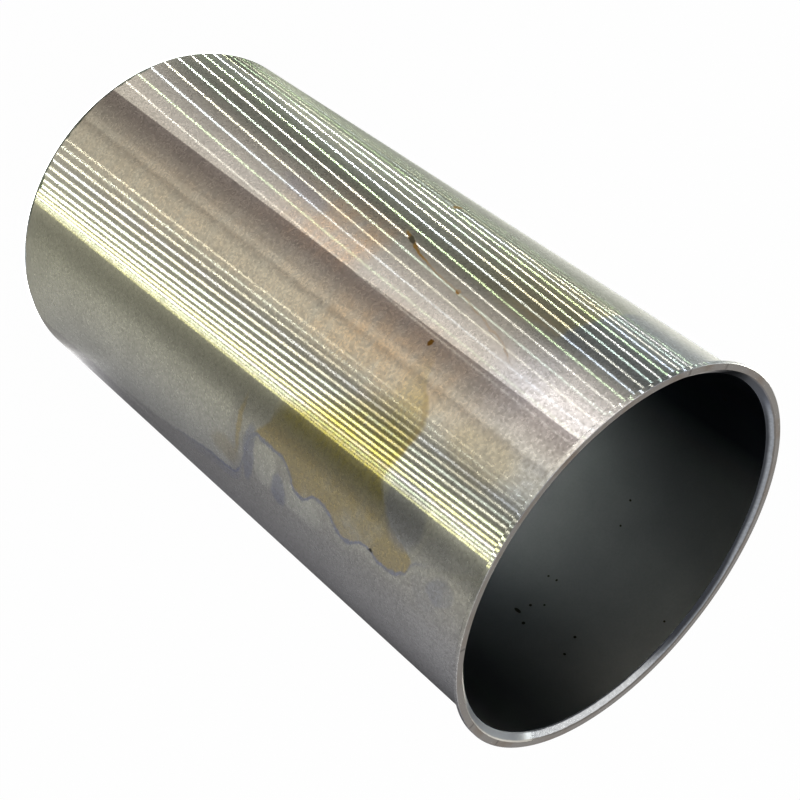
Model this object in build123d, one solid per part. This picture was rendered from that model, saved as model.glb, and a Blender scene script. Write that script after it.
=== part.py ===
from build123d import *
import os

# Flanged dry cylinder liner, turned and ground from one steel tube.
# Millimetres, +Z up. It stands on its plain lower end: that end face lies on
# z = 0, the bore axis is Z, and the flange is at the top.

# Driving dimensions
bore_diameter = 95.4        # parallel bore that the piston runs in
wall = 1.1                  # between the bore and the ground outside
length = 178.5              # from the lower end face to the flange's top face
flange_reach = 2.15         # how far the flange stands out from the ground outside
flange_thickness = 1.25     # from the top face to the seat in the block's counterbore
mouth_chamfer = 1.6         # 45 degree chamfer that guides the rings into the bore
root_fillet = 0.4           # concave fillet between the seat and the ground outside
face_edge_break = 0.12      # 45 degree break on the flange's top edge
seat_edge_round = 0.3       # rounded lower edge of the flange
lead_length = 1.2           # axial length of the taper that leads into the block
lead_reach = 0.4            # radial depth of that taper at the lower end face
lower_bore_break = 0.25     # 45 degree break at the lower end of the bore

# Radii and levels that follow from them
bore_radius = bore_diameter / 2
outer_radius = bore_radius + wall
flange_radius = outer_radius + flange_reach
seat_level = length - flange_thickness


def half_section():
    """One side of the liner in the XZ plane, drawn as (radius, level)."""
    seat_root = (outer_radius, seat_level)
    seat_edge = (flange_radius, seat_level)
    inside = [
        (bore_radius + lower_bore_break, 0),
        (bore_radius, lower_bore_break),
        (bore_radius, length - mouth_chamfer),
        (bore_radius + mouth_chamfer, length),
    ]
    flange_rim = [
        (flange_radius - face_edge_break, length),
        (flange_radius, length - face_edge_break),
        seat_edge,
    ]
    outside = [
        seat_root,
        (outer_radius, lead_length),
        (outer_radius - lead_reach, 0),
    ]
    with BuildSketch(Plane.XZ) as section:
        with BuildLine():
            Polyline(*inside, *flange_rim, *outside, close=True)
        make_face()
        for corner, radius in ((seat_root, root_fillet), (seat_edge, seat_edge_round)):
            nearest = section.vertices().sort_by_distance(Vector(*corner))[0]
            fillet(nearest, radius)
    return section.sketch


def cylinder_liner():
    """The whole liner: its half section turned once about the bore axis."""
    liner = revolve(half_section(), Axis.Z)
    liner.label = "cylinder_liner"
    return liner


os.makedirs("parts", exist_ok=True)
export_step(cylinder_liner(), "parts/cylinder_liner.step")
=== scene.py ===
"""A flanged dry cylinder liner of ground steel, standing on its plain end, and its studio."""

import logging
import math
from dataclasses import dataclass
from enum import Enum

import bpy
from mathutils import Matrix, Quaternion, Vector

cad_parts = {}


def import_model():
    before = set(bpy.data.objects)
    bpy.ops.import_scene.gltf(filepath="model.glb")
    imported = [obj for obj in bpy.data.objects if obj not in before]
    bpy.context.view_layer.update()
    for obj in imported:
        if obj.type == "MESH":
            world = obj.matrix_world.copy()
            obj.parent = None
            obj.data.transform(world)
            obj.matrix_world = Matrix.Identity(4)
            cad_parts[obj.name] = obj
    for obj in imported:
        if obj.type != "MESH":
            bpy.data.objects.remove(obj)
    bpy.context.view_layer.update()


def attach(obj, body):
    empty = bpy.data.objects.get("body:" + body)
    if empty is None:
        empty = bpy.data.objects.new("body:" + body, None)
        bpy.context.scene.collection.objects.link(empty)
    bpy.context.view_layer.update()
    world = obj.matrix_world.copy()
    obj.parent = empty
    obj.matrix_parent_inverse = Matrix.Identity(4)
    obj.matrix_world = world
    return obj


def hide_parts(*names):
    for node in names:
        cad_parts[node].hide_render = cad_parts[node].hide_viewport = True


log = logging.getLogger("cylinder_liner")

MM = 0.001
LINER_RADIUS = 0.0488
SEAT_LEVEL = 0.17725

# The numbers of the Mix node's sockets when it mixes colours.
MIX_FACTOR, MIX_FIRST, MIX_SECOND, MIX_RESULT = 0, 6, 7, 2

# A rise is the two places where a smooth step is 0 and 1. A contrast is a gain and a lift.
Number = float | int
Colour = tuple[float, float, float, float]
Rise = tuple[float, float]
Contrast = tuple[float, float]
Point = tuple[float, float]
Curve = tuple[Point, ...]


class Ray(Enum):
    """The kinds of ray that a stage piece can be hidden from."""

    CAMERA = "visible_camera"
    DIFFUSE = "visible_diffuse"
    GLOSSY = "visible_glossy"
    TRANSMISSION = "visible_transmission"
    SHADOW = "visible_shadow"


class Zone(Enum):
    """The differently machined zones of the liner, in the order of its material slots."""

    GROUND = 0
    FLANGE = 1
    MOUTH = 2
    BORE = 3


def colour(red: float, green: float, blue: float) -> Colour:
    """Gives an opaque linear colour."""
    return (red, green, blue, 1.0)


def grey(level: float) -> Colour:
    """Gives an opaque linear grey."""
    return colour(level, level, level)


def turn_share(angle: float) -> float:
    """Turns a direction, in degrees leftwards from the front, into a share of a turn from the back."""
    return (angle + 180.0) / 360.0


def deselect() -> None:
    """Deselects every object, so that an operator acts on the new one alone."""
    bpy.ops.object.select_all(action="DESELECT")


class Value:
    """A socket of a node that takes part in Python arithmetic."""

    def __init__(self, graph: "Graph", socket: bpy.types.NodeSocket) -> None:
        """Wraps one output socket of a graph."""
        self.graph = graph
        self.socket = socket

    def __add__(self, other: "Value | Number") -> "Value":
        """Adds."""
        return self.graph.math("ADD", self, other)

    __radd__ = __add__

    def __sub__(self, other: "Value | Number") -> "Value":
        """Subtracts."""
        return self.graph.math("SUBTRACT", self, other)

    def __rsub__(self, other: Number) -> "Value":
        """Subtracts this value from a number."""
        return self.graph.math("SUBTRACT", other, self)

    def __mul__(self, other: "Value | Number") -> "Value":
        """Multiplies."""
        return self.graph.math("MULTIPLY", self, other)

    __rmul__ = __mul__

    def __truediv__(self, other: "Value | Number") -> "Value":
        """Divides."""
        return self.graph.math("DIVIDE", self, other)

    def __neg__(self) -> "Value":
        """Turns the sign round."""
        return self.graph.math("MULTIPLY", self, -1.0)

    def __abs__(self) -> "Value":
        """Drops the sign."""
        return self.graph.math("ABSOLUTE", self)


class Made:
    """A node that was just made, whose outputs are read as values."""

    def __init__(self, graph: "Graph", node: bpy.types.Node) -> None:
        """Wraps one node of a graph."""
        self.graph = graph
        self.node = node

    def __getitem__(self, output: str | int) -> Value:
        """Gives one output as a value."""
        return Value(self.graph, self.node.outputs[output])


class Graph:
    """The node tree of a material or a world, written as expressions."""

    def __init__(self, owner: bpy.types.Material | bpy.types.World) -> None:
        """Starts an empty tree.

        Args:
            owner: the material or world that the nodes belong to.
        """
        owner.use_nodes = True
        self.tree = owner.node_tree
        self.tree.nodes.clear()

    def node(self, kind: str, settings: dict | None = None, inputs: dict | None = None) -> Made:
        """Adds a node.

        Args:
            kind: the node's type, without its ShaderNode prefix.
            settings: properties of the node, with stops for a ramp and points for a curve.
            inputs: values or links of its sockets, by name or number.

        Returns:
            The node, ready to be read.
        """
        node = self.tree.nodes.new("ShaderNode" + kind)
        for name, setting in (settings or {}).items():
            if name == "stops":
                self._set_stops(node.color_ramp.elements, setting)
            elif name == "points":
                self._set_points(node.mapping, setting)
            else:
                setattr(node, name, setting)
        for key, given in (inputs or {}).items():
            if isinstance(given, Value):
                self.tree.links.new(given.socket, node.inputs[key])
            else:
                node.inputs[key].default_value = given
        return Made(self, node)

    @staticmethod
    def _set_stops(elements: bpy.types.ColorRampElements, stops: list) -> None:
        """Gives a ramp its stops.

        Args:
            elements: the ramp's stops.
            stops: a position from 0 to 1 and a colour for each.
        """
        while len(elements) > 1:
            elements.remove(elements[-1])
        elements[0].position, elements[0].color = stops[0]
        for position, tint in stops[1:]:
            elements.new(position).color = tint

    @staticmethod
    def _set_points(mapping: bpy.types.CurveMapping, points: list) -> None:
        """Gives a float curve its points.

        Args:
            mapping: the curve's mapping.
            points: a place and a height, both from 0 to 1, for each.
        """
        curve = mapping.curves[0]
        curve.points[0].location = points[0]
        curve.points[1].location = points[-1]
        for place in points[1:-1]:
            curve.points.new(*place)
        for point in curve.points:
            point.handle_type = "AUTO_CLAMPED"
        mapping.update()

    def math(self, operation: str, *terms: Value | Number) -> Value:
        """Adds a Math node on the terms."""
        return self.node("Math", {"operation": operation}, dict(enumerate(terms)))[0]

    def clamp(self, term: Value) -> Value:
        """Keeps a value between 0 and 1."""
        return self.node("Clamp", None, {"Value": term})[0]

    def contrast(self, term: Value, gain: float, lift: float) -> Value:
        """Multiplies a value, lifts it and keeps it between 0 and 1."""
        return self.clamp(term * gain + lift)

    def step(self, term: Value, low: float, high: float) -> Value:
        """Rises smoothly from 0 at low to 1 at high, or falls where high is the smaller."""
        inputs = {"Value": term, "From Min": low, "From Max": high}
        return self.node("MapRange", {"interpolation_type": "SMOOTHSTEP"}, inputs)[0]

    def length(self, across: Value, along: Value) -> Value:
        """Measures the length of a flat vector."""
        return self.math("SQRT", across * across + along * along)

    def mix_colour(
            self, factor: Value | Number, first: Value | Colour, second: Value | Colour,
            blend: str = "MIX") -> Value:
        """Goes from the first colour to the second, or to their blend, by the factor."""
        inputs = {MIX_FACTOR: factor, MIX_FIRST: first, MIX_SECOND: second}
        return self.node("Mix", {"data_type": "RGBA", "blend_type": blend}, inputs)[MIX_RESULT]

    def tint(self, factor: Value | Number, first: Value | Colour, second: Value | Colour) -> Value:
        """Multiplies the first colour by the second, as far as the factor says."""
        return self.mix_colour(factor, first, second, "MULTIPLY")

    def mix_shader(self, factor: Value | Number, first: Value, second: Value) -> Value:
        """Goes from the first shader to the second by the factor."""
        return self.node("MixShader", None, {0: factor, 1: first, 2: second})[0]

    def glow(self, tint: Value) -> Value:
        """Makes a glow of the tint, whose brightness is in the tint itself."""
        return self.node("Emission", None, {"Color": tint, "Strength": 1.0})[0]

    def bump(self, height: Value, strength: float, distance: float) -> Value:
        """Makes a fine bump of the height, with its distance in metres."""
        return self.node("Bump", None, {"Strength": strength, "Distance": distance, "Height": height})[0]

    def curve(self, term: Value, points: list) -> Value:
        """Reads a curve's height at a value from 0 to 1."""
        return self.node("FloatCurve", {"points": points}, {"Value": term})[0]

    def place(self) -> Value:
        """Reads the place in the object's own frame."""
        return self.node("TexCoord")["Object"]

    def parts(self, vector: Value) -> tuple[Value, Value, Value]:
        """Splits a vector into its three parts."""
        made = self.node("SeparateXYZ", None, {0: vector})
        return made[0], made[1], made[2]

    def ends_in(self, output: str, shader: Value) -> None:
        """Links a shader to the Surface of the named kind of output."""
        self.node(output, None, {"Surface": shader})


def new_material(name: str) -> tuple[bpy.types.Material, Graph]:
    """Makes an empty material and its graph."""
    made = bpy.data.materials.new(name)
    return made, Graph(made)


@dataclass(frozen=True)
class Noise:
    """A noise from about 0.2 to 0.8: its size in metres, its finer layers, their strength and its squash."""

    size: float
    detail: float = 2.0
    roughness: float = 0.5
    squash: tuple[float, float, float] | None = None

    def read(self, graph: Graph, place: Value, output: str = "Fac") -> Value:
        """Reads the noise.

        Args:
            graph: the material's graph.
            place: where it is read, in metres.
            output: the node's output, which is Fac for one number and Color for three.

        Returns:
            The noise.
        """
        if self.squash:
            place = graph.node("Mapping", None, {"Vector": place, "Scale": self.squash})[0]
        made = graph.node("TexNoise", {"noise_dimensions": "3D"}, {
            "Vector": place, "Scale": 1.0 / self.size, "Detail": self.detail, "Roughness": self.roughness})
        return made[output]


SWAY = Noise(5.5 * MM, 7.0, 0.7)


@dataclass(frozen=True)
class Patch:
    """A rounded patch on the outside, in millimetres round from the front and down from the seat.

    The turn is in degrees, the edge is the share of the patch's size that it fades over, and the strength
    is the height of its mask.
    """

    around: float
    down: float
    half_width: float
    half_height: float
    turn: float = 0.0
    edge: float = 0.35
    strength: float = 1.0

    def mask(self, ground: "Outside") -> Value:
        """Makes the patch's mask.

        Args:
            ground: the unrolled outside.

        Returns:
            The mask, which is as high as the strength inside the patch.
        """
        cos, sin = math.cos(math.radians(self.turn)), math.sin(math.radians(self.turn))
        across, along = ground.around - self.around, ground.down - self.down
        wide = (across * cos + along * sin) / self.half_width
        high = (along * cos - across * sin) / self.half_height
        reach = ground.graph.length(wide, high)
        return ground.graph.step(reach, 1.0 + self.edge / 2, 1.0 - self.edge / 2) * self.strength


@dataclass(frozen=True)
class Window:
    """A soft-edged part of the outside, bounded by rises and falls round from the front and down the wall."""

    around: tuple[Rise, ...] = ()
    down: tuple[Rise, ...] = ()
    strength: float = 1.0

    def mask(self, ground: "Outside") -> Value:
        """Makes the window's mask.

        Args:
            ground: the unrolled outside.

        Returns:
            The mask, which is as high as the strength inside the window.
        """
        sides = [ground.graph.step(ground.around, *rise) for rise in self.around]
        ends = [ground.graph.step(ground.down, *rise) for rise in self.down]
        return math.prod(sides + ends, start=self.strength)


@dataclass(frozen=True)
class Border:
    """A wandering border: the millimetres that it reaches at each place along it."""

    points: Curve

    def reach(self, graph: Graph, along: Value) -> Value:
        """Reads how far the border reaches.

        Args:
            graph: the material's graph.
            along: the place along the border, in millimetres.

        Returns:
            The reach, in millimetres.
        """
        places, reaches = zip(*self.points)
        first, span = places[0], places[-1] - places[0]
        low, height = min(reaches), max(reaches) - min(reaches)
        scaled = [((place - first) / span, (reach - low) / height) for place, reach in self.points]
        return graph.curve((along - first) / span, scaled) * height + low


@dataclass(frozen=True)
class Hem:
    """A soft line along a border: how far outside the border it runs, its fade and the part that shows."""

    outside: float
    fade: Rise
    part: Window

    def mask(self, ground: "Outside", past_border: Value) -> Value:
        """Makes the line's mask from how far each place lies past the border."""
        return ground.graph.step(abs(past_border + self.outside), *self.fade) * self.part.mask(ground)


@dataclass(frozen=True)
class Outside:
    """The unrolled outside of the liner, whose places wander a little."""

    graph: Graph
    place: Value
    around: Value
    down: Value

    @classmethod
    def unroll(cls, graph: Graph, wander: float) -> "Outside":
        """Unrolls the outside.

        Args:
            graph: the material's graph.
            wander: how far the places wander, in millimetres.

        Returns:
            The unrolled outside.
        """
        place = graph.place()
        x, y, z = graph.parts(place)
        sway, heave, _ = graph.parts(SWAY.read(graph, place, "Color"))
        around = graph.math("ARCTAN2", -x, -y) * (LINER_RADIUS / MM) + (sway - 0.5) * (2.0 * wander)
        down = (SEAT_LEVEL - z) / MM + (heave - 0.5) * (2.0 * wander)
        return cls(graph, place, around, down)

    def total(self, places: tuple[Patch | Window, ...]) -> Value:
        """Adds up the masks of several places."""
        masks = [place.mask(self) for place in places]
        return sum(masks[1:], masks[0])


@dataclass(frozen=True)
class GroundSteel:
    """The outside, ground round and round, with oxide films and stains on it, and painted shadow on its lead
    taper and at its foot.

    Places are in millimetres, those of the borders and the drip included, and noise sizes in metres.
    """

    steel: Colour = colour(0.325, 0.315, 0.299)
    dark_steel: Colour = colour(0.150, 0.144, 0.138)
    lighter_band_film: Colour = colour(0.492, 0.487, 0.500)
    tan_film: Colour = colour(0.312, 0.258, 0.158)
    straw_film: Colour = colour(0.248, 0.212, 0.086)
    copper_film: Colour = colour(0.400, 0.282, 0.180)
    cool_film: Colour = colour(0.302, 0.315, 0.355)
    blue_film: Colour = colour(0.215, 0.220, 0.272)
    dull_film: Colour = colour(0.287, 0.270, 0.264)
    pale_film: Colour = colour(0.400, 0.392, 0.362)
    rust: Colour = colour(0.150, 0.078, 0.012)
    pit: Colour = colour(0.012, 0.012, 0.010)
    # The lead taper is painted near black, a painted shadow, and is lighter past −22 to −34 mm round from the
    # front.
    lead: Colour = colour(0.045, 0.052, 0.045)
    lighter_lead: Colour = colour(0.480, 0.520, 0.560)
    dark_shade: Colour = colour(0.74, 0.73, 0.75)
    light_shade: Colour = colour(1.26, 1.27, 1.25)
    # The foot's tint is a painted shadow.
    painted_foot_shadow: Colour = colour(0.70, 0.70, 0.72)

    wander: float = 1.7
    clouds: Noise = Noise(0.012, 5.0, 0.6)
    grain: Noise = Noise(0.0007, 1.0)
    rings: Noise = Noise(0.0006, 2.0, 0.5, (0.05, 0.05, 1.0))
    beads: Noise = Noise(0.0007, 1.0, 0.5, (0.8, 0.8, 1.0))
    wiped: Noise = Noise(0.0032, 4.0, 0.65, (0.25, 0.25, 1.0))
    drawn: Noise = Noise(0.0022, 3.0, 0.5, (1.0, 1.0, 0.04))
    blotchy: Noise = Noise(0.005, 5.0, 0.65, (0.5, 0.5, 1.0))
    rusty: Noise = Noise(0.0016, 4.0, 0.65)

    grain_shade: float = 0.25
    rings_shade: float = 0.05
    clouds_shade: float = 0.7
    roughness: float = 0.45
    grain_roughness: float = 0.14
    lay: float = 0.9
    lay_turn: float = 0.25
    bump: float = 0.15
    bump_distance: float = 0.00001
    smear_roughness: float = 0.22
    smear: float = 0.88
    smear_share: float = 0.87
    beads_off: float = 0.26
    rust_off: float = 0.8
    lead_off: float = 0.75
    foot_off: float = 0.25
    frost_grain: float = 2.0
    frost_clouds: float = 0.9
    frost_least: float = 1.15

    lead_start: Rise = (175.95, 176.15)
    lead_lighter_part: Rise = (-22.0, -34.0)
    # Where the painted shadow at the foot lies: the last five millimetres, past 0 to −30 mm round from the
    # front.
    foot: Window = Window(((0.0, -30.0),), ((171.05, 176.05),))
    border_edge: Rise = (-0.3, 0.5)
    left_border: Border = Border((
        (0.0, -20.0), (14.0, -27.0), (18.0, -29.5), (21.0, -34.0), (27.0, -35.5), (33.0, -34.5),
        (39.0, -37.4), (46.0, -34.0), (50.0, -33.5), (55.0, -36.6), (60.0, -33.0), (66.0, -30.5),
        (72.0, -30.5), (75.5, -34.0), (79.5, -45.0), (83.0, -46.7), (91.0, -47.3), (104.0, -50.0),
        (117.0, -53.0), (146.0, -55.5), (178.0, -58.0)))
    upper_border: Border = Border((
        (-40.0, 16.0), (-30.0, 18.0), (-26.0, 26.0), (-22.0, 31.0), (-17.0, 33.3), (-12.0, 32.5),
        (-4.0, 31.0), (0.0, 33.0), (4.0, 37.0), (12.0, 41.0)))
    lower_border: Border = Border((
        (-40.0, 75.0), (-31.0, 74.0), (-26.0, 70.5), (-20.0, 68.0), (-16.0, 62.5), (-10.0, 53.0),
        (-5.0, 45.0), (0.0, 42.0), (12.0, 41.0)))
    drip: Border = Border((
        (24.0, 17.5), (27.0, 18.8), (30.0, 20.3), (33.0, 21.7), (38.0, 23.0), (42.0, 24.0), (48.0, 25.2),
        (55.0, 26.4), (63.0, 27.3), (68.0, 28.9), (73.0, 31.0), (78.0, 32.6)))

    lighter_band_wander: float = 8.0
    lighter_band_down: Rise = (32.0, 13.0)
    lighter_band_least: float = 0.05
    lighter_band_sides: tuple[Window, ...] = (
        Window(((3.0, 8.0), (52.0, 36.0)), strength=0.85),
        Window(((-8.0, -18.0), (-30.0, -20.0)), strength=0.75))
    cool_wander: float = 12.0
    cool_down: Rise = (42.0, 22.0)
    cool_part: Window = Window(((-12.0, -2.0), (33.0, 27.0)))
    cool_cloudy: Contrast = (2.6, -0.45)
    upper_edge: Rise = (-0.3, 1.0)
    lower_edge: Rise = (-0.6, 0.9)
    softer_right: Window = Window(((-26.0, -14.0),), strength=8.0)
    straw_part: Window = Window(((-27.0, -20.0), (3.0, -10.0)))
    straw_least: float = 0.4
    straw_wiped: float = 0.95
    tan_cloudy: Contrast = (3.2, -0.6)
    tan_part: Window = Window(((16.0, 4.0),))
    tan_places: tuple[Patch | Window, ...] = (
        Patch(-1.0, 16.0, 6.0, 9.0, 0.0, 0.9, 0.5),
        Patch(-32.0, 79.5, 7.5, 0.9, 0.0, 0.8, 0.8),
        Window(((29.0, 33.0), (54.0, 46.0)), ((24.2, 25.4), (72.0, 34.0)), 0.6),
        Patch(-41.0, 84.0, 3.0, 5.0, 0.0, 0.8, 0.4))
    blue_line: Hem = Hem(0.1, (0.75, 0.15), Window(down=((118.0, 78.0), (13.0, 22.0))))
    blue_halo: Hem = Hem(1.8, (2.0, 0.6), Window(down=((110.0, 84.0), (66.0, 84.0)), strength=0.35))
    blue_places: tuple[Patch | Window, ...] = (
        Patch(-40.0, 63.0, 4.0, 2.6, strength=0.7),
        Patch(-37.0, 75.0, 8.0, 2.2, strength=0.7),
        Window(((29.0, 33.0), (62.0, 52.0)), ((25.0, 23.8),), 0.7),
        Patch(-20.0, 25.0, 9.0, 6.0, 20.0, strength=0.6),
        Patch(-29.0, 13.0, 9.0, 5.0, strength=0.2),
        Patch(-31.0, 9.2, 3.0, 4.2, 20.0, strength=0.4),
        Patch(24.5, 104.0, 2.5, 9.0, -6.0, 0.8, 0.5))
    copper_places: tuple[Patch | Window, ...] = (
        Window(((10.0, 16.0), (38.0, 26.0)), ((72.0, 78.0), (116.0, 86.0)), 0.55),
        Patch(4.5, 50.0, 9.0, 25.0, 0.0, 1.2, 0.42),
        Patch(2.0, 120.0, 9.0, 60.0, 0.0, 1.2, 0.2))
    copper_least: float = 0.4
    copper_drawn: float = 1.2
    copper_blotchy: Contrast = (3.4, -0.9)
    dull_part: Window = Window(((-20.0, -34.0),), strength=0.8)
    brown_run: Patch = Patch(-50.5, 112.0, 3.6, 32.0, 7.0, 1.0, 0.6)
    rubbed_part: Window = Window(((-22.0, -30.0),), ((81.5, 84.5),))
    pale_rim: Hem = Hem(1.6, (1.4, 0.5), Window(down=((84.0, 60.0),), strength=0.4))
    pale_places: tuple[Patch, ...] = (
        Patch(-39.0, 56.0, 3.4, 9.0, 0.0, 0.6),
        Patch(-36.5, 69.0, 5.5, 4.5, 0.0, 0.5),
        Patch(-55.2, 143.0, 1.1, 24.0, -3.0, 1.0, 0.8))
    pits: tuple[Patch, ...] = (
        Patch(-34.6, 30.8, 0.6, 0.5),
        Patch(30.4, 71.6, 0.55, 1.8, -35.0, 0.8, 0.85))
    rust_places: tuple[Patch, ...] = (
        Patch(11.8, 44.2, 1.1, 0.75, 10.0),
        Patch(51.4, 78.7, 1.5, 0.7, -10.0),
        Patch(26.0, 50.4, 0.5, 0.9, strength=0.6),
        Patch(31.0, 35.0, 2.6, 9.0, 8.0, 1.1, 0.3),
        Patch(69.0, 54.8, 5.8, 0.18, 29.0, 0.9, 0.5))
    stain_rim: Hem = Hem(-0.9, (1.5, 0.2), Window(((-15.0, -9.0), (5.0, 0.0)), strength=0.55))
    rim_blotchy: Contrast = (2.4, -0.5)
    drip_run: Window = Window(down=((25.0, 29.0), (76.0, 74.5)))
    drip_core: Rise = (60.0, 69.0)
    drip_wetter: Window = Window(down=((52.0, 62.0),), strength=0.2)
    drip_strength: float = 0.42
    drip_core_strength: float = 0.38
    drip_width: float = 0.24
    drip_core_width: float = 0.26
    drip_edge: Rise = (1.3, 0.5)
    drip_ragged: float = 1.2
    drip_raggedness_off: float = 0.5
    haze_edge: Rise = (3.4, 0.4)
    haze_part: Window = Window(down=((22.0, 30.0), (80.0, 66.0)), strength=0.14)

    def material(self) -> bpy.types.Material:
        """Makes the material.

        Returns:
            The finished material.
        """
        made, graph = new_material("ground_steel_outside")
        ground = Outside.unroll(graph, self.wander)
        clouds = self.clouds.read(graph, ground.place)
        grain = self.grain.read(graph, ground.place)
        films = self.films(ground, clouds)
        rust, pit = self.spots(ground), ground.total(self.pits)
        lead, foot = graph.step(ground.down, *self.lead_start), self.foot.mask(ground)
        base = self.steel
        for film, mask in films:
            base = graph.mix_colour(mask, base, film)
        base = graph.mix_colour(pit, graph.mix_colour(rust, base, self.rust), self.pit)
        # Paints the lead taper as a painted shadow, lighter past −22 to −34 mm round.
        lead_colour = graph.mix_colour(graph.step(ground.around, *self.lead_lighter_part), self.lead, self.lighter_lead)
        base = graph.mix_colour(lead, base, lead_colour)
        rings = self.rings.read(graph, ground.place)
        shaded = graph.clamp(grain * self.grain_shade + rings * self.rings_shade + clouds * self.clouds_shade)
        base = graph.tint(1.0, base, graph.mix_colour(shaded, self.dark_shade, self.light_shade))
        # Paints shadow at the foot.
        base = graph.tint(foot, base, self.painted_foot_shadow)
        body = graph.node("BsdfPrincipled", None, {
            "Base Color": base, "Metallic": 1.0, "Roughness": self.roughness + self.grain_roughness * grain,
            "Normal": graph.bump(grain, self.bump, self.bump_distance), "Anisotropic": self.lay,
            "Anisotropic Rotation": self.lay_turn})[0]
        streaks = self.streaks(graph, self.steel)
        for film, mask in films[1:]:
            streaks = graph.mix_shader(mask, streaks, self.streaks(graph, film))
        frost = graph.clamp(grain * self.frost_grain + clouds * self.frost_clouds - self.frost_least)
        streaks = graph.mix_shader(frost, streaks, self.streaks(graph, self.dark_steel))
        share = self.smear_share - self.beads_off * self.beads.read(graph, ground.place)
        share = share - self.rust_off * rust - pit - self.lead_off * lead - self.foot_off * foot
        graph.ends_in("OutputMaterial", graph.mix_shader(graph.clamp(share), body, streaks))
        return made

    def streaks(self, graph: Graph, tint: Colour) -> Value:
        """Makes the mirror that the grinding smears along the axis."""
        inputs = {"Color": tint, "Roughness": self.smear_roughness, "Anisotropy": self.smear}
        return graph.node("BsdfAnisotropic", {"distribution": "BECKMANN"}, inputs)[0]

    def films(self, ground: Outside, clouds: Value) -> tuple[tuple[Colour, Value], ...]:
        """Lays the oxide films and stains over one another.

        Args:
            ground: the unrolled outside.
            clouds: the cloudy noise that the films are uneven with.

        Returns:
            Each film's colour and mask, from the lowest film up.
        """
        graph = ground.graph
        past_border = ground.around - self.left_border.reach(graph, ground.down)
        inside = graph.step(past_border, *self.border_edge)
        stain = self.stain(ground, inside)
        straw = stain * self.straw_part.mask(ground)
        wiped = self.straw_least + self.straw_wiped * self.wiped.read(graph, ground.place)
        return (
            (self.dull_film, self.dull(ground, inside)),
            (self.cool_film, self.cool(ground, clouds)),
            (self.lighter_band_film, self.lighter_band(ground, clouds)),
            (self.pale_film, self.pale(ground, inside, past_border)),
            (self.copper_film, self.copper(ground)),
            (self.tan_film, self.tan(ground, stain * (1.0 - straw), clouds)),
            (self.straw_film, graph.clamp(straw * wiped)),
            (self.blue_film, self.blue(ground, past_border)),
        )

    def lighter_band(self, ground: Outside, clouds: Value) -> Value:
        """Places the lighter band under the flange, faintest at the front."""
        band = ground.graph.step(ground.down + clouds * self.lighter_band_wander, *self.lighter_band_down)
        return band * (self.lighter_band_least + ground.total(self.lighter_band_sides))

    def cool(self, ground: Outside, clouds: Value) -> Value:
        """Places the cool tint down the front, under the flange."""
        band = ground.graph.step(ground.down + clouds * self.cool_wander, *self.cool_down)
        return self.cool_part.mask(ground) * band * ground.graph.contrast(clouds, *self.cool_cloudy)

    def stain(self, ground: Outside, inside: Value) -> Value:
        """Outlines the old oil stain between its left, upper and lower borders.

        Args:
            ground: the unrolled outside.
            inside: the mask of what lies to the right of the left border.

        Returns:
            The stain's mask.
        """
        graph = ground.graph
        past_upper = ground.down - self.upper_border.reach(graph, ground.around)
        short_of_lower = self.lower_border.reach(graph, ground.around) - ground.down
        below = graph.step(past_upper, *self.upper_edge)
        above = graph.step(short_of_lower / (1.0 + self.softer_right.mask(ground)), *self.lower_edge)
        return inside * below * above

    def tan(self, ground: Outside, brown_stain: Value, clouds: Value) -> Value:
        """Places the tan tints: the stain's left part, and fainter ones round about."""
        left = brown_stain * ground.graph.contrast(clouds, *self.tan_cloudy) * self.tan_part.mask(ground)
        return ground.graph.clamp(left + ground.total(self.tan_places))

    def blue(self, ground: Outside, past_border: Value) -> Value:
        """Places the blue heat tints: the line and halo along the left border, and the blots."""
        lines = self.blue_line.mask(ground, past_border) + self.blue_halo.mask(ground, past_border)
        return ground.graph.clamp(lines + ground.total(self.blue_places))

    def copper(self, ground: Outside) -> Value:
        """Places the coppery tints down the front, drawn out along the axis.

        Args:
            ground: the unrolled outside.

        Returns:
            The tints' mask.
        """
        graph = ground.graph
        drawn = self.copper_least + self.copper_drawn * self.drawn.read(graph, ground.place)
        blotchy = graph.contrast(self.blotchy.read(graph, ground.place), *self.copper_blotchy)
        return graph.clamp(ground.total(self.copper_places) * drawn * blotchy)

    def dull(self, ground: Outside, inside: Value) -> Value:
        """Leaves the far left duller, outside the border, with a brown run down it."""
        outside = (1.0 - inside) * self.dull_part.mask(ground)
        return ground.graph.clamp(outside + self.brown_run.mask(ground))

    def pale(self, ground: Outside, inside: Value, past_border: Value) -> Value:
        """Places the pale rubbed patch inside the border and the pale rim and patches outside it."""
        pale_patch = inside * self.rubbed_part.mask(ground) + self.pale_rim.mask(ground, past_border)
        return ground.graph.clamp(pale_patch + ground.total(self.pale_places))

    def spots(self, ground: Outside) -> Value:
        """Places the small rust spots, the drip and the rusty rim of the stain.

        Args:
            ground: the unrolled outside.

        Returns:
            The mask of all that is rusty.
        """
        graph = ground.graph
        off_drip = abs(ground.around - self.drip.reach(graph, ground.down))
        rusty = self.rusty.read(graph, ground.place)
        core = graph.step(ground.down, *self.drip_core)
        width = self.drip_width + self.drip_core_width * core
        ragged = self.drip_ragged * rusty - self.drip_raggedness_off
        drip = graph.step(off_drip / width - ragged, *self.drip_edge) * self.drip_run.mask(ground)
        drip = drip * (self.drip_strength + self.drip_wetter.mask(ground) + self.drip_core_strength * core)
        past_upper = ground.down - self.upper_border.reach(graph, ground.around)
        rim = self.stain_rim.mask(ground, past_upper) * graph.contrast(rusty, *self.rim_blotchy)
        haze = graph.step(off_drip, *self.haze_edge) * self.haze_part.mask(ground)
        return graph.clamp(drip + ground.total(self.rust_places) + haze + rim)


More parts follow.
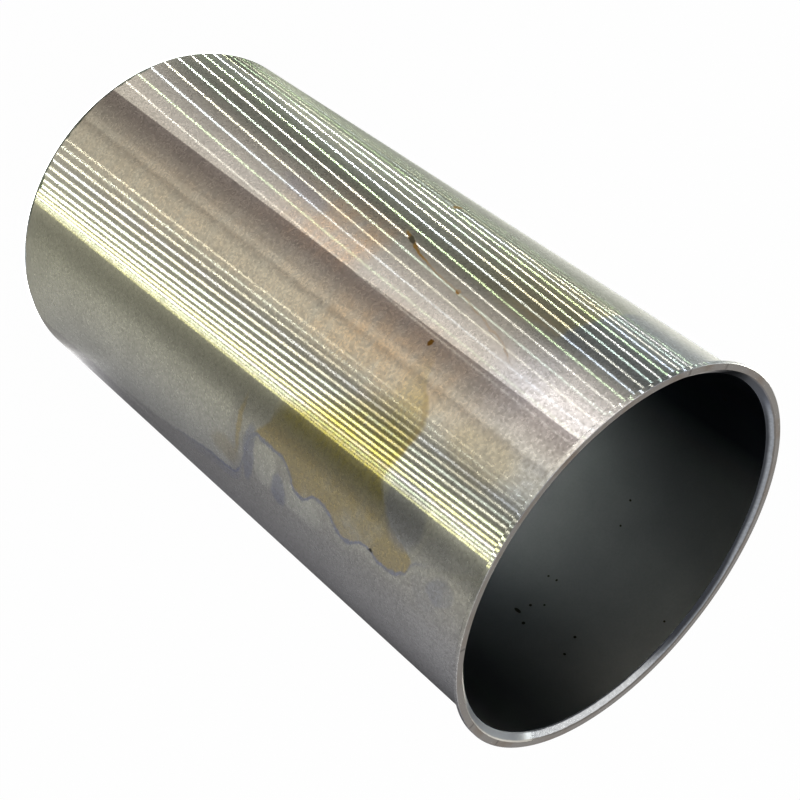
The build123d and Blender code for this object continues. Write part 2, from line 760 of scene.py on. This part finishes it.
@dataclass(frozen=True)
class TurnedFlange:
    """The flange's face, edges and seat, turned and lightly stained."""

    steel: Colour = colour(0.180, 0.165, 0.150)
    stain: Colour = colour(0.135, 0.098, 0.068)
    nick: Colour = colour(0.050, 0.040, 0.034)
    clouds: Noise = Noise(0.006, 4.0)
    grain: Noise = Noise(0.0005)
    stained: Rise = (0.45, 0.75)
    stain_strength: float = 0.7
    nicks: tuple[Patch, ...] = tuple(
        Patch(around, -1.2, 0.28, 5.0, strength=0.7) for around in (56.6, 43.6, -37.5, -65.2, -79.9))
    roughness: float = 0.14
    grain_roughness: float = 0.12
    bump: float = 0.15
    bump_distance: float = 0.00002

    def material(self) -> bpy.types.Material:
        """Makes the material.

        Returns:
            The finished material.
        """
        made, graph = new_material("ground_steel_flange")
        ground = Outside.unroll(graph, 0.0)
        clouds = self.clouds.read(graph, ground.place)
        grain = self.grain.read(graph, ground.place)
        base = graph.mix_colour(
            graph.step(clouds, *self.stained) * self.stain_strength, self.steel, self.stain)
        for nick in self.nicks:
            base = graph.mix_colour(nick.mask(ground), base, self.nick)
        shader = graph.node("BsdfPrincipled", None, {
            "Base Color": base, "Metallic": 1.0, "Roughness": self.roughness + self.grain_roughness * grain,
            "Normal": graph.bump(grain, self.bump, self.bump_distance)})[0]
        graph.ends_in("OutputMaterial", shader)
        return made


@dataclass(frozen=True)
class MouthSteel:
    """The chamfer round the mouth, cut bright, with a painted highlight and painted shade on it, and places
    in millimetres.
    """

    steel: Colour = colour(0.270, 0.285, 0.310)
    # The next colour is painted shade.
    painted_shade: Colour = colour(0.040, 0.043, 0.050)
    # The next colour is a painted highlight.
    bright: Colour = colour(0.600, 0.610, 0.620)
    turned: Colour = colour(0.420, 0.400, 0.370)
    edge: Colour = colour(0.150, 0.138, 0.126)
    dark_grain: Colour = grey(0.7)
    light_grain: Colour = grey(1.3)
    flange_thickness: float = 1.25
    wander: float = 0.15
    grain: Noise = Noise(0.0008, 3.0)
    # Where the chamfer is painted bright: a painted highlight.
    pale_patch: Window = Window(((-86.0, -108.0), (-142.0, -130.0)))
    # The left and right windows are painted shade, as is the chamfer deeper in on the far right and the far
    # side.
    left: Window = Window(((-40.0, -58.0), (-96.0, -90.0)))
    right: Window = Window(((30.0, 44.0), (92.0, 80.0)))
    far_right: Window = Window(((55.0, 75.0),))
    near_side: Rise = (62.0, 48.0)
    far_side: Rise = (128.0, 148.0)
    face_edge: Rise = (0.38, 0.20)
    inner_part: Rise = (0.65, 1.3)
    far_wider: float = 0.45
    bore_edge: Rise = (1.25, 1.45)
    roughness: float = 0.16
    grain_roughness: float = 0.1
    left_roughness: float = 0.3
    near_roughness: float = 0.5

    def material(self) -> bpy.types.Material:
        """Makes the material.

        Returns:
            The finished material.
        """
        made, graph = new_material("ground_steel_mouth")
        ground = Outside.unroll(graph, self.wander)
        depth = ground.down + self.flange_thickness
        far = graph.step(abs(ground.around), *self.far_side)
        near = graph.step(abs(ground.around), *self.near_side)
        # Painted shade deeper into the chamfer, on the far side and the far right, and along the bore's edge.
        inner = graph.step(depth + self.far_wider * far, *self.inner_part)
        inner = inner * graph.clamp(self.far_right.mask(ground) + far)
        inner = graph.clamp(inner + graph.step(depth, *self.bore_edge))
        left = self.left.mask(ground)
        # Paints shade on the left and right parts.
        base = graph.mix_colour(graph.clamp(left + self.right.mask(ground)), self.steel, self.painted_shade)
        # Paints a highlight with the bright colour.
        base = graph.mix_colour(self.pale_patch.mask(ground), base, self.bright)
        base = graph.mix_colour(near, base, self.turned)
        base = graph.mix_colour(graph.step(depth, *self.face_edge), base, self.edge)
        # Paints the shade deeper in, except on the near side.
        base = graph.mix_colour(inner * (1.0 - near), base, self.painted_shade)
        grain = self.grain.read(graph, ground.place)
        base = graph.tint(1.0, base, graph.mix_colour(grain, self.dark_grain, self.light_grain))
        roughness = self.roughness + self.grain_roughness * grain
        roughness = graph.clamp(roughness + self.left_roughness * left + self.near_roughness * near)
        inputs = {"Base Color": base, "Metallic": 1.0, "Roughness": roughness}
        graph.ends_in("OutputMaterial", graph.node("BsdfPrincipled", None, inputs)[0])
        return made


@dataclass(frozen=True)
class BoredSteel:
    """The bore, honed and deep grey, with a few specks and painted shade down its sides and on its right."""

    steel: Colour = colour(0.248, 0.257, 0.248)
    shaded: Colour = colour(0.030, 0.036, 0.045)
    grazing: Colour = grey(0.40)
    speck: Colour = colour(0.030, 0.025, 0.015)
    dark_shade: Colour = colour(0.75, 0.75, 0.78)
    light_shade: Colour = colour(1.15, 1.15, 1.13)
    clouds: Noise = Noise(0.010, 3.0)
    grain: Noise = Noise(0.0006)
    clouds_shade: float = 0.6
    grain_shade: float = 0.4
    # The sides and the right window are painted shade.
    sides: Rise = (124.0, 98.0)
    sides_strength: float = 0.65
    right: Window = Window(((150.0, 95.0), (60.0, 75.0)), strength=0.6)
    roughness: float = 0.29
    grain_roughness: float = 0.02
    specks: tuple[Patch, ...] = (
        Patch(-124.3, 33.8, 0.5, 1.1), Patch(-122.5, 29.8, 0.5, 0.45), Patch(-127.9, 32.8, 0.4, 0.4),
        Patch(-130.5, 30.3, 0.3, 0.3), Patch(-138.0, 33.3, 0.35, 0.3), Patch(-137.5, 35.8, 0.3, 0.3),
        Patch(-129.0, 17.8, 0.4, 0.4), Patch(-123.3, 15.8, 0.35, 0.4), Patch(-147.2, 3.8, 0.3, 0.3),
        Patch(139.7, 30.8, 0.3, 0.35), Patch(146.7, 29.3, 0.3, 0.3), Patch(94.5, 12.8, 0.5, 0.6))

    def material(self) -> bpy.types.Material:
        """Makes the material.

        Returns:
            The finished material.
        """
        made, graph = new_material("ground_steel_bore")
        ground = Outside.unroll(graph, 0.0)
        clouds = self.clouds.read(graph, ground.place)
        grain = self.grain.read(graph, ground.place)
        shade = graph.mix_colour(
            clouds * self.clouds_shade + grain * self.grain_shade, self.dark_shade, self.light_shade)
        base = graph.tint(1.0, self.steel, shade)
        # Paints shade down the sides and on the right.
        sides = graph.step(abs(ground.around), *self.sides) * self.sides_strength
        base = graph.mix_colour(graph.clamp(sides + self.right.mask(ground)), base, self.shaded)
        base = graph.mix_colour(graph.clamp(ground.total(self.specks)), base, self.speck)
        shader = graph.node("BsdfPrincipled", {"distribution": "GGX"}, {
            "Base Color": base, "Metallic": 1.0, "Roughness": self.roughness + self.grain_roughness * grain,
            "Specular Tint": self.grazing})[0]
        graph.ends_in("OutputMaterial", shader)
        return made


@dataclass
class Liner:
    """The liner itself: a thin tube with a flange at its top, turned as one piece, in millimetres."""

    bore_radius: float = 47.7
    outer_radius: float = 48.8
    flange_radius: float = 50.95
    length: float = 178.5
    seat: float = 177.25
    mouth_chamfer: float = 1.6
    root_fillet: float = 0.4
    face_break: float = 0.12
    seat_round: float = 0.3
    lead_length: float = 1.2
    lead_reach: float = 0.4
    bore_break: float = 0.25
    support: float = 0.3
    ring_pitch: float = 11.0
    weld: float = 0.002
    segments: int = 720
    arc_steps: int = 8
    smooth_below: float = 14.0

    def build(self) -> bpy.types.Object:
        """Builds the mesh ring by ring and dresses it.

        Returns:
            The liner's object.
        """
        rings = self.rings()
        deselect()
        radius, level = rings[0]
        bpy.ops.mesh.primitive_circle_add(
            vertices=self.segments, radius=radius * MM, location=(0.0, 0.0, level * MM))
        piece = bpy.context.active_object
        piece.name = piece.data.name = "ground_liner"
        bpy.ops.object.transform_apply(location=True, rotation=True, scale=True)
        bpy.ops.object.mode_set(mode="EDIT")
        bpy.ops.mesh.select_all(action="SELECT")
        for next_radius, next_level in rings[1:] + rings[:1]:
            rise = (0.0, 0.0, (next_level - level) * MM)
            bpy.ops.mesh.extrude_edges_move(TRANSFORM_OT_translate={"value": rise})
            grow = next_radius / radius
            bpy.ops.transform.resize(value=(grow, grow, 1.0), center_override=(0.0, 0.0, next_level * MM))
            radius, level = next_radius, next_level
        bpy.ops.mesh.select_all(action="SELECT")
        bpy.ops.mesh.remove_doubles(threshold=self.weld * MM)
        bpy.ops.mesh.normals_make_consistent(inside=False)
        bpy.ops.object.mode_set(mode="OBJECT")
        bpy.ops.object.shade_smooth_by_angle(angle=math.radians(self.smooth_below))
        self.dress(piece)
        return piece

    def rings(self) -> list[Point]:
        """Lists the section's corners, round from the bore's lower edge.

        Returns:
            A radius and a level for each.
        """
        bore_top, root_level = self.length - self.mouth_chamfer, self.seat - self.root_fillet
        up_the_bore = [(self.bore_radius, level) for level in self.levels(self.bore_break, bore_top)]
        up_the_wall = [(self.outer_radius, level) for level in self.levels(self.lead_length, root_level)]
        rim = [
            (self.bore_radius + self.mouth_chamfer, self.length),
            (self.flange_radius - self.face_break, self.length),
            (self.flange_radius, self.length - self.face_break),
        ]
        seat_edge = self.arc(
            self.flange_radius - self.seat_round, self.seat + self.seat_round, self.seat_round, 0.0, -90.0)
        root = self.arc(self.outer_radius + self.root_fillet, root_level, self.root_fillet, 90.0, 180.0)
        foot = [(self.outer_radius - self.lead_reach, 0.0), (self.bore_radius + self.bore_break, 0.0)]
        return up_the_bore + rim + seat_edge + root[:-1] + up_the_wall[::-1] + foot

    def levels(self, low: float, high: float) -> list[float]:
        """Spaces rings up a straight wall, with one close to each end.

        Args:
            low: the wall's lower end.
            high: its upper end.

        Returns:
            The rings' levels, both ends included.
        """
        inner_low, inner_high = low + self.support, high - self.support
        count = round((inner_high - inner_low) / self.ring_pitch)
        between = [inner_low + (inner_high - inner_low) * i / count for i in range(count + 1)]
        return [low, *between, high]

    def arc(self, radius: float, level: float, size: float, start: float, end: float) -> list[Point]:
        """Lists points along an arc round a centre, from one angle in degrees up from outwards to another."""
        angles = [math.radians(start + (end - start) * i / self.arc_steps) for i in range(self.arc_steps + 1)]
        return [(radius + size * math.cos(a), level + size * math.sin(a)) for a in angles]

    def zone_of(self, radius: float, level: float) -> Zone:
        """Says which zone a face belongs to.

        Args:
            radius: the radius of the face's middle, in millimetres.
            level: its level, in millimetres.

        Returns:
            The zone.
        """
        if radius < self.outer_radius - self.lead_reach and level < self.length - self.mouth_chamfer:
            return Zone.BORE
        if radius < self.bore_radius + self.mouth_chamfer and self.seat < level < self.length:
            return Zone.MOUTH
        if radius < self.flange_radius - self.face_break and level > self.seat - self.root_fillet / 2:
            return Zone.FLANGE
        return Zone.GROUND

    def dress(self, piece: bpy.types.Object) -> None:
        """Gives each zone its finish.

        Args:
            piece: the liner's object.
        """
        for finish in (GroundSteel(), TurnedFlange(), MouthSteel(), BoredSteel()):
            piece.data.materials.append(finish.material())
        for face in piece.data.polygons:
            middle = face.center / MM
            face.material_index = self.zone_of(math.hypot(middle.x, middle.y), middle.z).value


@dataclass(frozen=True)
class LampRow:
    """A row of small lamps, in liner radii from the foot of the axis: towards the front, left and up."""

    name: str
    first: tuple[float, float, float]
    step: tuple[float, float, float]
    start: int
    strengths: tuple[float, ...]
    power: float
    tints: tuple[tuple[float, float, float], ...]
    lamp_size: float = 0.0025
    aim: tuple[float, float, float] = (0.0, 0.0, 1.84)

    @staticmethod
    def placed(front: float, left: float, up: float) -> Vector:
        """Turns a place in liner radii into one in metres."""
        return Vector((-left, -front, up)) * LINER_RADIUS

    def build(self) -> None:
        """Places the lamps."""
        aim = self.placed(*self.aim)
        for index, strength in enumerate(self.strengths):
            number = self.start + index
            place = self.placed(*(a + b * number for a, b in zip(self.first, self.step)))
            turn = (aim - place).to_track_quat("-Z", "Y").to_euler()
            deselect()
            bpy.ops.object.light_add(type="AREA", location=place, rotation=turn)
            lamp = bpy.context.active_object
            lamp.name = f"{self.name}_{number:+d}"
            lamp.data.size = self.lamp_size
            lamp.data.energy = self.power * strength
            lamp.data.color = self.tints[index % len(self.tints)]
            lamp.data.cycles.use_multiple_importance_sampling = False
            lamp.visible_camera = False


@dataclass
class Surround:
    """What the metal reflects round about: a table top and a lit wall, by direction.

    Each point of a curve is a direction, in degrees leftwards from the front, and a brightness. The toe is
    the table close to the foot. The tints are a colour for each direction.
    """

    inner_radius: float = 0.0487
    outer_radius: float = 2.500
    height: float = 1.000
    floor_gap: float = 0.0003
    segments: int = 180
    brightest: float = 17.0
    toe_fade: Rise = (0.078, 0.056)
    near_to_far: Rise = (0.07, 0.30)
    toe: Curve = (
        (-180.0, 0.0), (-128.0, 0.0), (-114.0, 4.4), (-94.0, 4.4), (-87.0, 1.4), (-80.0, 0.2), (-70.0, 0.0),
        (180.0, 0.0))
    table_near: Curve = (
        (-180.0, 1.2), (-166.0, 0.4), (-156.0, 0.2), (-140.0, 0.35), (-129.0, 0.4), (-118.0, 0.3),
        (-104.0, 0.35), (-92.0, 0.5), (-76.0, 0.75), (-64.0, 0.8), (-56.0, 0.75), (-46.0, 0.65),
        (-28.0, 0.5), (-16.0, 0.7), (0.0, 1.45), (12.0, 1.2), (27.5, 1.2), (32.0, 1.0), (38.0, 0.75),
        (44.0, 0.5), (50.0, 0.3), (62.0, 0.15), (76.0, 0.2), (82.0, 0.8), (88.0, 1.1), (95.0, 1.1),
        (104.0, 0.9), (116.0, 0.9), (130.0, 1.9), (150.0, 3.6), (166.0, 3.4), (180.0, 1.2))
    table_far: Curve = (
        (-180.0, 0.7), (-166.0, 0.15), (-150.0, 0.1), (-130.0, 0.35), (-110.0, 0.45), (-90.0, 0.3),
        (-60.0, 0.2), (-46.0, 0.0), (-37.0, 0.2), (-27.0, 0.1), (-14.0, 0.4), (-5.0, 1.8), (3.0, 2.2),
        (10.0, 1.95), (20.0, 1.75), (30.0, 1.5), (36.0, 1.25), (42.0, 1.0), (48.0, 0.5), (60.0, 0.1),
        (68.0, 0.0), (100.0, 0.1), (120.0, 0.8), (140.0, 1.8), (166.0, 1.8), (180.0, 0.7))
    wall: Curve = (
        (-180.0, 0.5), (-160.0, 0.5), (-148.0, 1.0), (-134.0, 0.6), (-122.0, 1.1), (-112.0, 1.8),
        (-100.0, 2.5), (-88.0, 3.1), (-76.0, 3.7), (-66.0, 3.6), (-60.0, 1.8), (-54.0, 0.7), (-47.0, 0.4),
        (-43.5, 1.1), (-40.0, 2.0), (-33.0, 0.7), (-27.0, 0.2), (-18.0, 0.2), (-8.0, 0.8), (0.0, 1.8),
        (8.0, 2.8), (16.0, 4.1), (26.0, 6.4), (34.5, 9.0), (42.0, 9.4), (50.0, 7.4), (61.0, 5.0),
        (69.0, 1.4), (78.0, 0.5), (90.0, 0.5), (100.0, 2.5), (110.0, 3.0), (114.0, 3.8), (121.0, 5.2),
        (127.0, 6.2), (132.0, 10.5), (137.0, 13.5), (146.0, 17.0), (153.0, 8.0), (160.0, 1.0), (180.0, 0.5))
    tints: tuple[tuple[float, Colour], ...] = (
        (-180.0, grey(1.0)), (-150.0, colour(0.97, 1.0, 1.10)), (-125.0, colour(0.97, 1.0, 1.10)),
        (-95.0, colour(0.98, 1.0, 1.05)), (-65.0, colour(1.0, 1.0, 0.87)), (-45.0, colour(1.0, 1.0, 0.78)),
        (-12.0, colour(1.0, 0.97, 0.80)), (4.0, colour(1.0, 0.94, 0.75)), (28.0, colour(1.0, 0.92, 0.79)),
        (36.0, colour(1.0, 0.94, 0.88)), (66.0, colour(1.0, 0.92, 0.80)), (80.0, colour(0.95, 1.0, 0.80)),
        (110.0, colour(0.92, 1.0, 0.84)), (140.0, colour(0.97, 1.0, 0.95)), (180.0, grey(1.0)))

    def build(self) -> bpy.types.Object:
        """Builds the surround.

        Returns:
            Its object.
        """
        deselect()
        bpy.ops.mesh.primitive_circle_add(
            vertices=self.segments, radius=self.inner_radius, location=(0, 0, self.floor_gap))
        surround = bpy.context.active_object
        surround.name = "surround"
        bpy.ops.object.transform_apply(location=True, rotation=True, scale=True)
        bpy.ops.object.mode_set(mode="EDIT")
        bpy.ops.mesh.select_all(action="SELECT")
        grow = self.outer_radius / self.inner_radius
        bpy.ops.mesh.extrude_edges_move(TRANSFORM_OT_translate={"value": (0, 0, 0)})
        bpy.ops.transform.resize(value=(grow, grow, 1.0))
        bpy.ops.mesh.extrude_edges_move(TRANSFORM_OT_translate={"value": (0, 0, self.height)})
        bpy.ops.object.mode_set(mode="OBJECT")
        surround.data.materials.append(self.material())
        for ray in (Ray.CAMERA, Ray.DIFFUSE, Ray.SHADOW, Ray.TRANSMISSION):
            setattr(surround, ray.value, False)
        return surround

    def material(self) -> bpy.types.Material:
        """Makes the glow of the table and the wall.

        Returns:
            The finished material.
        """
        made, graph = new_material("surround_glow")
        made.cycles.emission_sampling = "NONE"
        x, y, z = graph.parts(graph.place())
        turn = graph.math("ARCTAN2", -x, -y) / math.tau + 0.5
        radius = graph.length(x, y)
        curves = (self.toe, self.table_near, self.table_far, self.wall)
        toe, near, far, wall = (self.brightness(graph, turn, curve) for curve in curves)
        outwards = graph.step(radius, *self.near_to_far)
        table = near * (1 - outwards) + far * outwards + toe * graph.step(radius, *self.toe_fade)
        upright = graph.math("GREATER_THAN", z, 2 * self.floor_gap)
        bright = table * (1 - upright) + wall * upright
        stops = [(turn_share(angle), tint) for angle, tint in self.tints]
        tint = graph.node("ValToRGB", {"stops": stops}, {"Fac": turn})[0]
        lit = graph.node("VectorMath", {"operation": "SCALE"}, {0: tint, "Scale": bright})[0]
        graph.ends_in("OutputMaterial", graph.glow(lit))
        return made

    def brightness(self, graph: Graph, turn: Value, curve: Curve) -> Value:
        """Reads a curve of brightness by direction, with the direction as a share of a turn."""
        points = [(turn_share(angle), bright / self.brightest) for angle, bright in curve]
        return graph.curve(turn, points) * self.brightest


@dataclass
class Card:
    """A curved card that stands close round a part of the liner, with angles in degrees leftwards."""

    name: str
    radius: float
    first: float
    last: float
    steps: int
    hidden_from: tuple[Ray, ...]
    height: float = 0.176

    def build(self) -> bpy.types.Object:
        """Builds the card and hangs its gauze.

        Returns:
            Its object.
        """
        deselect()
        turn = math.radians((self.last - self.first) / self.steps)
        start = math.radians(self.first)
        place = Vector((-math.sin(start), -math.cos(start), 0.0)) * self.radius
        bpy.ops.mesh.primitive_plane_add(size=1.0, location=place)
        card = bpy.context.active_object
        card.name = self.name
        bpy.ops.object.mode_set(mode="EDIT")
        bpy.ops.mesh.select_all(action="SELECT")
        bpy.ops.mesh.merge(type="CENTER")
        bpy.ops.mesh.extrude_region_move(TRANSFORM_OT_translate={"value": (0.0, 0.0, self.height)})
        bpy.ops.mesh.select_all(action="SELECT")
        for _ in range(self.steps):
            bpy.ops.mesh.extrude_region_move()
            bpy.ops.transform.rotate(value=turn, orient_axis="Z", center_override=(0.0, 0.0, 0.0))
        bpy.ops.object.mode_set(mode="OBJECT")
        bpy.ops.object.transform_apply(location=True, rotation=True, scale=True)
        card.data.materials.append(self.gauze())
        for ray in self.hidden_from:
            setattr(card, ray.value, False)
        return card

    def gauze(self) -> bpy.types.Material:
        """Makes the gauze that the card is covered with.

        Returns:
            The finished material.
        """
        made, graph = new_material(f"{self.name}_gauze")
        graph.ends_in("OutputMaterial", graph.node("BsdfTransparent", None, {"Color": self.tone(graph)})[0])
        return made

    def tone(self, graph: Graph) -> Value | Colour:
        """Says how much light the gauze lets through, which each kind of card does in its own way."""
        raise NotImplementedError


@dataclass
class Flag(Card):
    """The card that keeps most of the lamps' light off the liner's left limb."""

    name: str = "flag"
    radius: float = 0.0495
    first: float = 60.5
    last: float = 110.0
    steps: int = 10
    hidden_from: tuple[Ray, ...] = (Ray.CAMERA, Ray.DIFFUSE, Ray.GLOSSY, Ray.TRANSMISSION)
    let_through: Colour = colour(0.22, 0.24, 0.20)

    def tone(self, graph: Graph) -> Value | Colour:
        """Says how much light the gauze lets through, which is the same all over."""
        return self.let_through


@dataclass
class Screen(Card):
    """The card that dims what the front reflects: a thin dim line and a dim band with a sharp left edge.

    The sharp edge lies at one angle at the foot and at another at the liner's top. Each point of the
    dimming is a share of the way to that edge, and how clear the gauze is. Nearer the top it is clearer.
    """

    name: str = "screen"
    radius: float = 0.04896
    first: float = 0.0
    last: float = 21.0
    steps: int = 21
    hidden_from: tuple[Ray, ...] = (Ray.CAMERA, Ray.DIFFUSE, Ray.SHADOW, Ray.TRANSMISSION)
    edge_at_foot: float = 19.2
    edge_at_top: float = 16.1
    edge_blur: Rise = (0.993, 1.007)
    top: float = 0.1785
    clearer: float = 0.17
    clearer_up: Rise = (0.125, 0.168)
    dim: Colour = colour(0.305, 0.278, 0.288)
    full: Colour = grey(1.0)
    dimming: Curve = (
        (0.0, 1.0), (0.10, 1.0), (0.155, 0.93), (0.21, 0.81), (0.265, 0.66), (0.30, 0.60), (0.328, 0.68),
        (0.365, 0.89), (0.40, 0.89), (0.455, 0.75), (0.51, 0.53), (0.57, 0.43), (0.625, 0.34), (0.68, 0.24),
        (0.74, 0.16), (0.80, 0.09), (0.87, 0.05), (1.0, 0.05))

    def tone(self, graph: Graph) -> Value | Colour:
        """Says how much light the gauze lets through, by the share of the way to the sharp edge.

        Args:
            graph: the gauze's graph.

        Returns:
            The colour of what the gauze lets through.
        """
        x, y, z = graph.parts(graph.place())
        angle = graph.math("ARCTAN2", -x, -y) * math.degrees(1.0)
        edge = self.edge_at_foot + z * ((self.edge_at_top - self.edge_at_foot) / self.top)
        share = angle / edge
        clear = graph.curve(share, list(self.dimming))
        clear = clear + (1.0 - clear) * self.clearer * graph.step(z, *self.clearer_up)
        past = graph.step(share, *self.edge_blur)
        return graph.mix_colour(graph.math("MAXIMUM", clear, past), self.dim, self.full)


@dataclass
class Studio:
    """The floor, surround, cards, lamps, world and camera."""

    floor_size: float = 3.0
    floor_colour: Colour = grey(0.86)
    floor_glow: float = 0.975
    glow_inside: float = 8.6
    glow_slope: float = 181.0
    glow_lean: float = 85.0
    daylight: float = 0.8
    camera_place: tuple[float, float, float] = (0.0, -0.33209, 0.33749)
    camera_aim: tuple[float, float, float] = (0.002485, -0.000055, 0.102235)
    camera_roll: float = 127.8605
    lens: float = 73.345
    sensor: float = 36.0
    nearest: float = 0.01
    rows: tuple[LampRow, ...] = (
        LampRow(
            "left_lamp", (5.446, -4.06, -1.396), (-0.257, 0.369, -0.58), -3,
            (0.45, 0.5, 0.6, 0.8, 1.0, 1.2, 1.4), 0.085,
            ((1.0, 1.0, 0.45), (1.0, 1.0, 0.7), (0.88, 1.0, 0.65), (1.0, 0.97, 0.85))),
        LampRow(
            "front_lamp", (3.542, -2.829, -1.0), (0.009, 0.261, 0.0), 4,
            (1.1, 0.92, 0.7, 0.5, 0.37, 0.27, 0.2), 0.03,
            ((1.0, 1.0, 0.8), (0.9, 1.0, 0.85), (1.0, 0.98, 0.75), (0.95, 1.0, 1.0))),
        LampRow(
            "right_lamp", (0.248, 4.424, -6.013), (-0.386, 0.424, 0.364), -3,
            (0.5, 0.7, 0.9, 1.0, 1.1, 1.2, 1.25, 1.25, 1.2, 1.15, 1.1, 1.0, 0.9, 0.8, 0.7, 0.6, 0.5, 0.35),
            0.1,
            ((1.0, 1.0, 0.88), (0.74, 1.0, 0.6), (0.82, 0.94, 1.0), (1.0, 1.0, 0.8), (0.8, 1.0, 0.82))),
    )

    def build(self) -> None:
        """Builds the whole studio."""
        stage = [self.floor(), Surround().build(), Flag().build(), Screen().build()]
        for card in stage:
            log.info("%s: %d faces", card.name, len(card.data.polygons))
        for row in self.rows:
            row.build()
            log.info("%s row: %d lamps", row.name, len(row.strengths))
        self.world()
        self.camera()

    @staticmethod
    def background_ray(graph: Graph) -> Value:
        """Tells whether a ray comes from the camera, a gloss or a glass.

        Args:
            graph: the graph of a material or the world.

        Returns:
            1 for such a ray and 0 for any other.
        """
        rays = graph.node("LightPath")
        seen = graph.math("MAXIMUM", rays["Is Camera Ray"], rays["Is Glossy Ray"])
        return graph.math("MAXIMUM", seen, rays["Is Transmission Ray"])

    def floor(self) -> bpy.types.Object:
        """Lays the pale floor.

        Returns:
            Its object.
        """
        deselect()
        bpy.ops.mesh.primitive_plane_add(size=self.floor_size)
        floor = bpy.context.active_object
        floor.name = "floor"
        floor.visible_shadow = False
        floor.data.materials.append(self.floor_material())
        return floor

    def floor_material(self) -> bpy.types.Material:
        """Makes the floor's finish: white where it is seen, and aglow in the bore's reflections.

        Returns:
            The finished material.
        """
        made, graph = new_material("pale_floor")
        made.cycles.emission_sampling = "NONE"
        x, y, _ = graph.parts(graph.place())
        outside = graph.step(graph.length(x, y), LINER_RADIUS - MM, LINER_RADIUS)
        inside = 1.0 - outside
        glossy = graph.node("LightPath")["Is Glossy Ray"]
        glow = self.background_ray(graph) * outside * self.floor_glow + glossy * inside
        lit = graph.math("MAXIMUM", self.glow_inside - y * self.glow_slope + x * self.glow_lean, 0.0)
        diffuse = graph.node("BsdfDiffuse", None, {"Color": self.floor_colour})[0]
        graph.ends_in("OutputMaterial", graph.mix_shader(glow, diffuse, graph.glow(outside + inside * lit)))
        return made

    def world(self) -> None:
        """Sets an even daylight, white where it is seen or reflected."""
        world = bpy.data.worlds.new("daylight")
        bpy.context.scene.world = world
        world.cycles.sampling_method = "NONE"
        graph = Graph(world)
        strength = self.daylight + (1.0 - self.daylight) * self.background_ray(graph)
        inputs = {"Strength": strength, "Color": grey(1.0)}
        graph.ends_in("OutputWorld", graph.node("Background", None, inputs)[0])

    def camera(self) -> None:
        """Sets the camera."""
        place, aim = Vector(self.camera_place), Vector(self.camera_aim)
        level = (aim - place).to_track_quat("-Z", "Y")
        roll = Quaternion((0.0, 0.0, 1.0), math.radians(self.camera_roll))
        data = bpy.data.cameras.new("camera")
        data.lens = self.lens
        data.sensor_width = self.sensor
        data.clip_start = self.nearest
        camera = bpy.data.objects.new("camera", data)
        bpy.context.collection.objects.link(camera)
        camera.matrix_world = Matrix.Translation(place) @ (level @ roll).to_matrix().to_4x4()
        bpy.context.scene.camera = camera


def main() -> None:
    """Builds the liner and its studio and reports them."""
    logging.basicConfig(level=logging.INFO, format="%(name)s: %(message)s")
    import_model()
    bpy.context.scene.view_settings.view_transform = "Standard"
    Studio().build()
    piece = Liner().build()
    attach(piece, "root")
    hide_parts("cylinder_liner")
    log.info("%s: %d faces", piece.name, len(piece.data.polygons))


if __name__ == "__main__":
    main()
